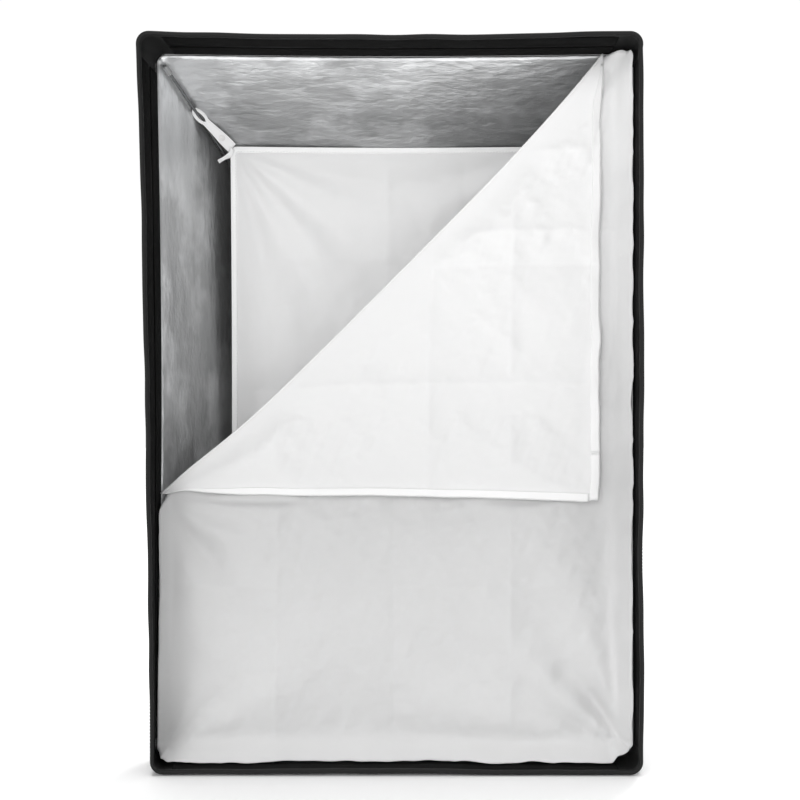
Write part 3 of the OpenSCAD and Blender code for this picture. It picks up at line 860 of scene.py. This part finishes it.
# ---- white sheets
def groove(corner, start, end, width, height):
    """One soft fold along a line, raised if height is positive, that fades at both ends. Sizes in mm."""
    a, b = (np.array(corner) + np.array(end_point) * MM for end_point in (start, end))
    run = b - a
    length = math.hypot(*run)

    def rise(x, z):
        t = ((x - a[0]) * run[0] + (z - a[1]) * run[1]) / length**2
        off = ((x - a[0]) * run[1] - (z - a[1]) * run[0]) / length
        fade = smoothstep((t + 0.6) / 0.8) * smoothstep((1.5 - t) / 0.6)
        return height * MM * bell(off, width * MM) * fade * (0.8 + 0.2 * np.cos(TAU * 1.5 * t))

    return rise


def crease_lines(half, lines, width, height):
    """Pressed packing creases: sharp ridges and valleys along lines, at shares of a half. Sizes in mm."""

    def rise(v):
        lows = [np.exp(-np.abs(v - line * half) / (width * MM)) for line in lines]
        return sum((-1) ** k * height * MM * low for k, low in enumerate(lows))

    return rise


def corner_folds(centre, count, reach, height, phase=0.0):
    """Soft folds that fan out from a pulled corner and die away with distance. Sizes in mm."""

    def rise(x, z):
        dx, dz = x - centre[0], z - centre[1]
        r = np.hypot(dx, dz) / (reach * MM)
        return height * MM * r * np.exp(1 - r) * np.cos(count * np.arctan2(dz, dx) + phase)

    return rise


def from_edge(distance, reach):
    """1 at an edge, dying away with the distance from it."""
    return np.exp(-np.clip(distance, 0, None) / reach)


sheet_slack = ripple(41, 110 * MM, 420 * MM)
sheet_crumple = ripple(42, 22 * MM, 110 * MM, ridged=True)
SHEET_SLACK, SHEET_CRUMPLE = 4.2 * MM, 0.9 * MM
sheet_crease_x = crease_lines(SHEET_W, (-0.5, 0, 0.5), 14, 3.2)
sheet_crease_z = crease_lines(SHEET_H, (-0.52, 0, 0.5), 14, 3.6)
edge_wave = ripple(43, 30 * MM, 190 * MM)
corner_gather = ripple(44, 9 * MM, 34 * MM)
BORDER_WIDTH = {"left": 14 * MM, "right": 26 * MM, "top": 20 * MM, "bottom": 30 * MM}
BORDER_FORWARD = {"left": 14 * MM, "right": 28 * MM, "top": 17 * MM, "bottom": 32 * MM}
NOTCH_X, NOTCH_RISE = SHEET_W - 28 * MM, 9 * MM
FOLD_BOW, FOLD_END_RISE, FOLD_END_IN = 14 * MM, 9 * MM, 6 * MM
FLAP_RIGHT, FLAP_BOTTOM, FLAP_SLOPE = FOLD_TOP_X, FOLD_LEFT_Z, 0.22
FLAP_RAISED, FLAP_TIP_DROP = 9.5 * MM, 2.4 * MM
LOW_RIGHT, LOW_LEFT, FOLD_CORNER = (SHEET_W, -SHEET_H), (-SHEET_W, -SHEET_H), (-SHEET_W, FOLD_LEFT_Z)
main_folds = [
    corner_folds(LOW_RIGHT, 13, 110, 5.5, 0.4),
    corner_folds(FOLD_CORNER, 11, 70, 3.0, 1.2),
    corner_folds(LOW_LEFT, 12, 60, 3.0, 0.2),
    corner_folds((SHEET_W, SHEET_H), 12, 70, 2.0),
    groove(LOW_RIGHT, (-85, 100), (-22, 40), 17, -11),
    groove(LOW_RIGHT, (-46, 30), (-24, 24), 13, 8),
    groove(LOW_RIGHT, (-170, 95), (-60, 34), 20, 6),
    groove(FOLD_CORNER, (12, -12), (105, -48), 15, 13),
    groove(FOLD_CORNER, (22, -40), (80, -85), 16, -8),
    groove(LOW_LEFT, (6, 40), (26, 14), 6, 5),
]


def fold_distance(x, z):
    """Distance from the fold line, positive on the side of the attached sheet."""
    return ((x + FOLD_RISE) - z) / math.sqrt(2)


def bow_fold(x, z):
    """Moves points near the fold line, which hangs in a shallow curve towards the attached sheet."""
    along = np.clip((x + z + SHEET_W - FOLD_LEFT_Z) / (FOLD_TOP_X + SHEET_H + SHEET_W - FOLD_LEFT_Z), 0, 1)
    p = fold_distance(x, z)
    near = np.exp(-np.abs(p) / (70 * MM))
    shift = FOLD_BOW * (1 - np.abs(2 * along - 1) ** 3.5) * near
    left_end = bell(x + SHEET_W, 75 * MM) * near
    at_wall = FOLD_END_IN * bell(x + SHEET_W, 28 * MM) * bell(p, 10 * MM)
    return x + shift / math.sqrt(2) + at_wall, z - shift / math.sqrt(2) + FOLD_END_RISE * left_end


def edge_distances(x, z):
    return {"left": SHEET_W + x, "right": SHEET_W - x, "top": SHEET_H - z, "bottom": SHEET_H + z}


def notch(x, z):
    """1 in the lower right corner, where the edge is caught up a little, and 0 elsewhere."""
    return smoothstep((x - NOTCH_X) / (9 * MM)) * smoothstep(1 - (z + SHEET_H) / (45 * MM))


def main_forward(x, z):
    """How far the attached sheet stands forward of its plane."""
    p = fold_distance(x, z)
    rise = SHEET_SLACK * sheet_slack(x, z) + SHEET_CRUMPLE * sheet_crumple(x, z)
    rise = rise + sheet_crease_x(x) + sheet_crease_z(z) + sum(fold(x, z) for fold in main_folds)
    edge = np.minimum(SHEET_W - np.abs(x), SHEET_H - np.abs(z))
    rise = rise * smoothstep(edge / (35 * MM)) * smoothstep((SHEET_W + x) / (70 * MM))
    covered = np.minimum(z - FLAP_BOTTOM, FLAP_RIGHT - x)
    rise = soft_min(rise, 1.0 * MM + np.where(covered > 0, FLAP_SLOPE, 0.8) * np.abs(covered), 1 * MM)
    border = 0
    for side, to_edge in edge_distances(x, z).items():
        turned = np.clip(1 - to_edge / BORDER_WIDTH[side], 0, 1) ** 2.1
        border = np.maximum(border, turned * BORDER_FORWARD[side])
    border = border * (1 + 0.12 * edge_wave(x, z)) * smoothstep((p - 1 * MM) / (13 * MM))
    hem_roll = 2.2 * MM * bell(edge - 9 * MM, 5 * MM) * (1 + 0.5 * edge_wave(z, x))
    gathered = 3.2 * MM * corner_gather(x, z) * bell(x + SHEET_W, 36 * MM) * bell(z + SHEET_H, 36 * MM)
    return (rise + hem_roll + gathered) * smoothstep(p / (45 * MM)) + border


CELLS = int(round(2 * SHEET_W / SHEET_STEP))
CELL = 2 * SHEET_W / CELLS


def flat_grid(keep_main):
    """The flat front sheet on a grid whose diagonals run along the fold line: the part on one side of it."""
    xs = -SHEET_W + CELL * np.arange(CELLS + 1)
    below = int((FOLD_LEFT_Z + SHEET_H) / CELL)
    zs = FOLD_LEFT_Z + CELL * np.arange(-below, int((SHEET_H - FOLD_LEFT_Z) / CELL + 1e-6) + 1)
    first, last = int(zs[0] > -SHEET_H + 1e-6), int(zs[-1] < SHEET_H - 1e-6)
    zs = np.concatenate([[-SHEET_H] * first, zs, [SHEET_H] * last])
    quads = grid_faces(len(zs), len(xs))
    row, col = np.divmod(quads[:, 0], len(xs))
    side = row - (below + first) - col
    # corners of a cut cell in order: low-left, high-left, high-right, low-right
    whole = side < 0 if keep_main else side > 0
    half = [0, 2, 3, 3] if keep_main else [0, 1, 2, 2]
    faces = np.vstack([quads[whole], quads[side == 0][:, half]])
    x, z = (g.ravel() for g in np.meshgrid(xs, zs))
    used, index = np.unique(faces, return_inverse=True)
    return x[used], z[used], index.reshape(faces.shape)


def step_off_fold(x, z):
    """Moves the points on the fold line one gap away from it, to the side the sheet is on."""
    p = fold_distance(x, z)
    side = np.sign(p.sum())
    push = np.where(np.abs(p) < 0.2 * MM, side * FOLD_GAP, 0) / math.sqrt(2)
    return x + push, z - push


def round_corners(x, z, radii):
    """Pulls the square corners of the sheet in to round ones. radii are by sign of x and z."""
    for (sx, sz), radius in radii.items():
        x, z = rounded(sx * x, sz * z, SHEET_W, SHEET_H, radius)
        x, z = sx * x, sz * z
    return x, z


SHEET_CORNERS = {(1, -1): 17 * MM, (-1, -1): 20 * MM, (1, 1): 12 * MM, (-1, 1): 12 * MM}


def main_points(x, z):
    forward = main_forward(x, z)
    edge = np.minimum(SHEET_W - np.abs(x), SHEET_H - np.abs(z))
    near = smoothstep(1 - edge / (25 * MM)) * smoothstep(fold_distance(x, z) / (40 * MM))
    nudge = np.where(x < 0, 0.7, 1.7) * MM * edge_wave(z * 1.3, x * 1.3) * near
    x2, z2 = bow_fold(*round_corners(x, z, SHEET_CORNERS))
    side_edge = SHEET_W - np.abs(x) < SHEET_H - np.abs(z)
    x2 = x2 - np.sign(x) * np.where(side_edge, np.abs(nudge), 0)
    z2 = z2 - np.sign(z) * np.where(side_edge, 0, np.abs(nudge)) + NOTCH_RISE * notch(x, z)
    return pull(xyz(x2, MAIN_Y - forward, z2))


x, z, faces = flat_grid(keep_main=True)
x, z = step_off_fold(x, z)
sheet = slab(main_points(x, z), faces, xyz(x, z))
piece("front_diffuser_cloth", sheet, diffuser, "white_diffuser", "front_diffuser")


def fold_over(x, z):
    """Where a point of the flat upper left corner lies once it is folded over."""
    return z - FOLD_RISE, x + FOLD_RISE


flap_slack = ripple(61, 90 * MM, 380 * MM)
flap_wave = ripple(62, 40 * MM, 170 * MM)


def flap_forward(x, z):
    """How far the folded sheet stands forward of its plane: it rests on the sheet, with loose edges."""
    p = fold_distance(x, z)
    to_bottom, to_right = z - FLAP_BOTTOM, FLAP_RIGHT - x
    flat_x, flat_z = z - FOLD_RISE, x + FOLD_RISE
    rise = 2.4 * MM * (flap_slack(x, z) + 1.1) + 0.45 * MM * (1 + sheet_crumple(x + 0.4, z))
    rise = rise + sheet_crease_x(flat_x) + sheet_crease_z(flat_z)
    rise = rise + from_edge(to_bottom, 26 * MM) * (2.0 * MM + 1.2 * MM * flap_wave(x, z))
    rise = rise + 2.2 * MM * from_edge(to_right, 20 * MM) * (1 + 0.5 * flap_wave(z, x))
    total = np.maximum(rise, 0.6 * MM) + np.maximum(main_forward(x, z), -1 * MM)
    to_edge = np.clip(np.minimum(to_bottom, to_right), 0, None)
    return soft_min(total, 2.6 * MM + FLAP_SLOPE * to_edge, 0.6 * MM) * smoothstep(p / (50 * MM))


def flap_points(x, z, raised=0.0):
    """Points of the folded sheet for flat ones, with its free edges pulled in clear of the walls."""
    fx, fz = fold_over(x, z)
    p = fold_distance(fx, fz)
    along = np.clip((fx + SHEET_W) / (FLAP_RIGHT + SHEET_W), 0, 1)
    up = FLAP_RAISED * (1 - along**1.6) - FLAP_TIP_DROP * along**6
    up = up + 1 * MM * (1 + flap_wave(fx, 0 * fx)) * (1 - along)
    up = up * from_edge(fz - FLAP_BOTTOM, 70 * MM) * smoothstep(p / (30 * MM))
    left = 5 * MM + 1.2 * MM * flap_wave(0 * fz, fz + 0.3)
    left = left * from_edge(FLAP_RIGHT - fx, 60 * MM) * smoothstep(p / (60 * MM))
    y = FLAP_Y - flap_forward(fx, fz) - raised
    fx, fz = bow_fold(fx - left, fz + up)
    return xyz(fx, y, fz)


x, z, faces = flat_grid(keep_main=False)
x, z = step_off_fold(x, z)
rx, rz = round_corners(x, z, {(-1, 1): 20 * MM})
sheet = slab(flap_points(rx, rz), faces, xyz(x, z))
piece("diffuser_flap_cloth", sheet, diffuser_back, "white_diffuser", "diffuser_flap", body="flap")


def fold_roll():
    """The turn of cloth that joins the attached sheet to the folded one, over the fold line."""
    t = np.arange(int(round((SHEET_H - FOLD_LEFT_Z) / CELL)) + 1) * CELL
    line_x, line_z = bow_fold(t - SHEET_W, t + FOLD_LEFT_Z)
    line, away = xyz(line_x, 0, line_z), unit(Z - X)
    radius = (MAIN_Y - FLAP_Y) / 2
    turn = [(radius * math.sin(a), FOLD_Y + radius * math.cos(a)) for a in np.linspace(0, math.pi, 9)]
    section = [(-FOLD_GAP, MAIN_Y), *turn, (-FOLD_GAP, FLAP_Y)]
    points = np.stack([line + away * out + y * Y for out, y in section], 1)
    uv = xyz(t[:, None], np.linspace(0, 8 * MM, len(section)))
    return slab(points.reshape(-1, 3), grid_faces(*points.shape[:2])[:, ::-1], uv.reshape(-1, 2))


roll = piece("diffuser_fold_roll", fold_roll(), diffuser_back, "white_diffuser", body=None)
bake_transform(roll)


def flap_tape(start, end, edge_side, width, taper, curl):
    """A length of hook tape sewn on the folded sheet's face along a free edge, cut to a point at the fold."""
    along = np.linspace(start, end, max(3, int(abs(end - start) / (4 * MM))))
    a, c = np.meshgrid(along, np.linspace(0, 1, 7), indexing="ij")
    faces = grid_faces(*a.shape)
    a, c = a.ravel(), c.ravel()
    at_top = edge_side == "top"
    to_fold = FOLD_TOP_X - a if at_top else a - FOLD_LEFT_Z
    c = 1 * MM + c * (width - 1 * MM) * np.clip(to_fold / taper, 0.12, 1)
    flat = (a, SHEET_H - c) if at_top else (c - SHEET_W, a)
    lift = curl(a) * np.clip(1 - c / width, 0, 1) ** 1.5
    points = flap_points(*flat, 0.25 * MM + TAPE_T / 3) - lift[:, None] * (Y + 0.6 * (X if at_top else -Z))
    return slab(points, faces[:, ::-1] if at_top else faces, xyz(a, c), TAPE_T * 0.6)


def bump_at(places):
    return lambda a: sum(h * bell(a - at, w) for at, w, h in places)


TOP_TAPE, SIDE_TAPE = (13 * MM, 60 * MM), (11 * MM, 110 * MM)
top_start, top_break, top_end = -SHEET_W + 3 * MM, -SHEET_W + 62 * MM, FOLD_TOP_X - 12 * MM
top_curl = bump_at([(FOLD_TOP_X - 155 * MM, 28 * MM, 3.5 * MM)])
side_curl = bump_at([(SHEET_H - 95 * MM, 16 * MM, 1.2 * MM)])
tapes = [
    flap_tape(top_start, top_break - 1 * MM, "top", *TOP_TAPE, top_curl),
    flap_tape(top_break + 1 * MM, top_end, "top", *TOP_TAPE, top_curl),
    flap_tape(FOLD_LEFT_Z + 16 * MM, SHEET_H - 14 * MM, "left", *SIDE_TAPE, side_curl),
]
piece("flap_hook_strips", merge(*tapes), hook_white, "white_hook_tape", "flap_hook_tape", body="flap")


# ---- inner baffle and its straps
baffle_slack = ripple(71, 130 * MM, 420 * MM)
baffle_crumple = ripple(72, 25 * MM, 120 * MM, ridged=True)
BAFFLE_SLACK, BAFFLE_CRUMPLE = 2.2 * MM, 0.6 * MM
baffle_crease_x = crease_lines(BAFFLE_W, (-0.045, 0.42), 12, 2.0)
baffle_crease_z = crease_lines(BAFFLE_H, (0.57, 0.07, -0.45), 12, 2.4)
# Folds at each of the CORNERS: how many, reach and height in mm, and phase
BAFFLE_FOLDS = [(15, 120, 4.5, 0.6), (14, 110, 3.5, 0.0), (14, 110, 3.5, 0.9), (15, 110, 3.5, 0.3)]
baffle_folds = []
for (sx, sz), fold in zip(CORNERS, BAFFLE_FOLDS):
    baffle_folds.append(corner_folds((sx * BAFFLE_W, sz * BAFFLE_H), *fold))


def baffle_inset(x, z):
    """The bound edges bow in a little between the straps."""
    bow_x = 2.2 * MM * mid_share(z, BAFFLE_H) * x / BAFFLE_W
    bow_z = 1.8 * MM * mid_share(x, BAFFLE_W) * z / BAFFLE_H
    return x - bow_x, z - bow_z


def baffle_solid():
    step = 4 * MM
    reach_x, reach_z = BAFFLE_W - 4 * MM, BAFFLE_H - 4 * MM
    xs = np.linspace(-reach_x, reach_x, int(2 * reach_x / step))
    zs = np.linspace(-reach_z, reach_z, int(2 * reach_z / step))
    x, z = (g.ravel() for g in np.meshgrid(xs, zs))
    rise = BAFFLE_SLACK * baffle_slack(x, z) + BAFFLE_CRUMPLE * baffle_crumple(x, z)
    rise = rise + baffle_crease_x(x) + baffle_crease_z(z) + sum(fold(x, z) for fold in baffle_folds)
    rise = rise * smoothstep(np.minimum(reach_x - np.abs(x), reach_z - np.abs(z)) / (40 * MM))
    x2, z2 = baffle_inset(x, z)
    return slab(xyz(x2, BAFFLE_Y - rise, z2), grid_faces(len(zs), len(xs)), xyz(x, z))


def baffle_edge(inset, pitch=4 * MM):
    flat, _ = rounded_rect(BAFFLE_W - inset, BAFFLE_H - inset, 5 * MM, pitch)
    x, z = baffle_inset(flat[:, 0], flat[:, 1])
    return xyz(x, BAFFLE_Y, z)


piece("inner_baffle_cloth", baffle_solid(), baffle_white, "white_diffuser", "inner_baffle")
binding = sweep(baffle_edge(4 * MM), bar(8 * MM, 2 * MM, 0.9 * MM, 4), -Y, closed=True)
piece("baffle_edge_binding", binding, webbing, "white_webbing", "baffle_binding")
rows = stitches(baffle_edge(6.8 * MM) - 1.05 * MM * Y, -Y, closed=True)
piece("baffle_stitching", rows, thread_white, "white_webbing")


TAIL = 27 * MM


def strap_line(corner):
    """Where a strap starts on the baffle, its run to the rod, and its along and face directions."""
    start = np.array([BAFFLE_W - 3 * MM, BAFFLE_Y - 2.6 * MM, BAFFLE_H - 3 * MM]) * (corner[0], 1, corner[1])
    run = rod_points(STRAP_BACK, corner)[0] - start
    along = unit(run)
    return start, run, along, unit(along[1] * along - Y)


def strap_solid(corner):
    """A webbing strap from the baffle's corner that narrows to an eye round the rod, and its sewn tail."""
    start, run, along, face = strap_line(corner)
    side = np.cross(along, face)
    eye_long, eye_wide, past_rod = 11.5 * MM, 5.0 * MM, 4.4 * MM
    neck = along * (np.linalg.norm(run) - 2 * eye_long + past_rod + 3 * MM)
    t = np.linspace(0, 1, 22)
    width = (15 - 4.5 * smoothstep((t - 0.2) / 0.8)) * MM
    centres = start + neck * t[:, None] + face * 1.2 * MM * np.sin(t * math.pi)[:, None]
    band = loft([placed(bar(w, 1.1 * MM, 0.5 * MM), centre, side, face) for w, centre in zip(width, centres)])
    a = np.arange(40)[:, None] / 40 * TAU
    eye_centre = start + run - along * (eye_long - past_rod)
    path = eye_centre + along * np.cos(a) * eye_long + side * np.sin(a) * eye_wide
    eye = sweep(path, bar(past_rod, 1.6 * MM, 0.7 * MM), face, closed=True)
    rows = []
    for k in (0.06, 0.16):
        across = np.stack([start + neck * k + (side * out + face) * MM for out in (-5.5, 5.5)])
        rows.append(stitches(resample(across, 2 * MM), face, 2.6, 1.8, 0.25))
    tail = []
    for k in np.linspace(0, 1, 15):
        twist = math.sin(k * 7)
        centre = start + side * corner[0] * corner[1] * TAIL * k - along * 3 * MM * math.sin(k * 4)
        centre = centre + face * (2.5 * twist + 1) * MM
        outline = bar((8 - 3 * k) * MM, 0.8 * MM, 0.35 * MM)
        tail.append(placed(outline, centre, unit(along + side * 0.35 * twist), face))
    return merge(band, eye, loft(tail), *rows)


STRAP_NAMES = {(-1, 1): "top_left", (1, 1): "top_right", (-1, -1): "bottom_left", (1, -1): "bottom_right"}
for corner, name in STRAP_NAMES.items():
    node = f"baffle_strap_{name}"
    piece(f"{node}_webbing", strap_solid(corner), webbing, "white_webbing", node)

# Radius and height, in mm, of a press stud: a rimmed disc with a domed middle
SNAP_PROFILE = [(0.3, 0), (4.3, 0), (4.5, 0.5), (4.3, 1.0), (3.3, 1.2), (3.0, 1.0), (2.7, 1.1), (2.2, 1.8),
                (1.2, 2.05), (0.3, 2.1)]
studs = []
for corner in CORNERS:
    start, run, _, face = strap_line(corner)
    studs.append(lathe(np.array(SNAP_PROFILE) * MM, start + run * 0.3 + face * 1.6 * MM, face))
piece("strap_press_studs", merge(*studs), white_plastic, "white_plastic", "strap_snaps")


# ---- CAD parts that stay
CAD_LOOKS = {
    "bayonet_insert": steel, "retainer_ring": steel, "lock_stud": steel,
    "retainer_screws": spring_steel, "glide_washer": nylon_natural, "brake_pad": nylon_natural,
    "speedring": cast_black, "lock_knob": black_plastic, "rod_tip_caps": black_plastic,
    "rod_ferrules": brass, "rod_top_left": spring_steel, "rod_top_right": spring_steel,
    "rod_bottom_left": spring_steel, "rod_bottom_right": spring_steel,
}
# Bevel widths in mm, where they differ from the usual one
SOFT_EDGE = {"speedring": 0.8, "lock_knob": 0.7, "bayonet_insert": 0.3, "retainer_ring": 0.3}
USUAL_EDGE, EDGE_ANGLE = 0.2, math.radians(35)
for name, look in CAD_LOOKS.items():
    node = frame["nodes"][name]
    node.data.materials.clear()
    node.data.materials.append(look)
    weld = node.modifiers.new("weld", "WELD")
    weld.merge_threshold = 0.01 * MM
    bevel = node.modifiers.new("edges", "BEVEL")
    bevel.width = SOFT_EDGE.get(name, USUAL_EDGE) * MM
    bevel.segments = 2
    bevel.limit_method = "ANGLE"
    bevel.angle_limit = EDGE_ANGLE
    bevel.harden_normals = True


# ---- floor, light and camera
FLOOR_DROP = 2 * MM


def stage_floor():
    """A wide pale floor just under the box."""
    count = 41
    x, y = (g.ravel() for g in np.meshgrid(np.linspace(-60, 60, count), np.linspace(-20, 120, count)))
    points = xyz(x, y, -HALF_H - FLOOR_DROP)
    look = Look("floor")
    tone = look.ramp(look.noise(look.place(), 1.2), 0.93, 0.96)
    look = look.finish(Base_Color=tone, Roughness=0.9, Specular_IOR_Level=0.1)
    make("floor", (points, grid_faces(count, count), points[:, :2]), look)


def wide_light(name, toward, strength, spread):
    """Soft, even light that comes from one direction."""
    data = bpy.data.lights.new(name, "SUN")
    data.energy = strength
    data.angle = math.radians(spread)
    add(name, data).rotation_euler = Vector(toward).to_track_quat("Z", "Y").to_euler()


def studio():
    """White surround that lights softly and reads pure white, with a large key light from the upper left."""
    surround = Look("studio", bpy.data.worlds.new("studio"))
    strengths = (WORLD_LIGHT, WORLD_SEEN)
    lit, seen = (surround.node("Background", {"Color": (1, 1, 1, 1), "Strength": s}) for s in strengths)
    ray = surround.node("LightPath", out="Is Camera Ray")
    surround.node("OutputWorld", {"Surface": surround.node("MixShader", {0: ray, 1: lit, 2: seen})})
    bpy.context.scene.world = surround.owner
    for light in LIGHTS:
        wide_light(*light)


WORLD_SEEN, WORLD_LIGHT = 1.02, 0.33
# Name, direction it comes from, strength, and the angle it fills in degrees
LIGHTS = [
    ("key", (-0.3, -1, 0.42), 1.5, 45),
    ("top", (0, 0.1, 1), 2.4, 40),
    ("back", (0.55, 1, 0.55), 1.3, 15),
]
CAMERA_AT = (0.0436, -1.58, -0.0508)
CAMERA_LENS, CAMERA_SHIFT = 43.5, (-0.034, 0.056)
camera_data = bpy.data.cameras.new("camera")
camera_data.lens = CAMERA_LENS
camera_data.shift_x, camera_data.shift_y = CAMERA_SHIFT
camera = add("camera", camera_data)
camera.location = CAMERA_AT
camera.rotation_euler = (math.radians(90), 0, 0)
bpy.context.scene.camera = camera
bpy.context.scene.view_settings.view_transform = "Standard"
stage_floor()
studio()
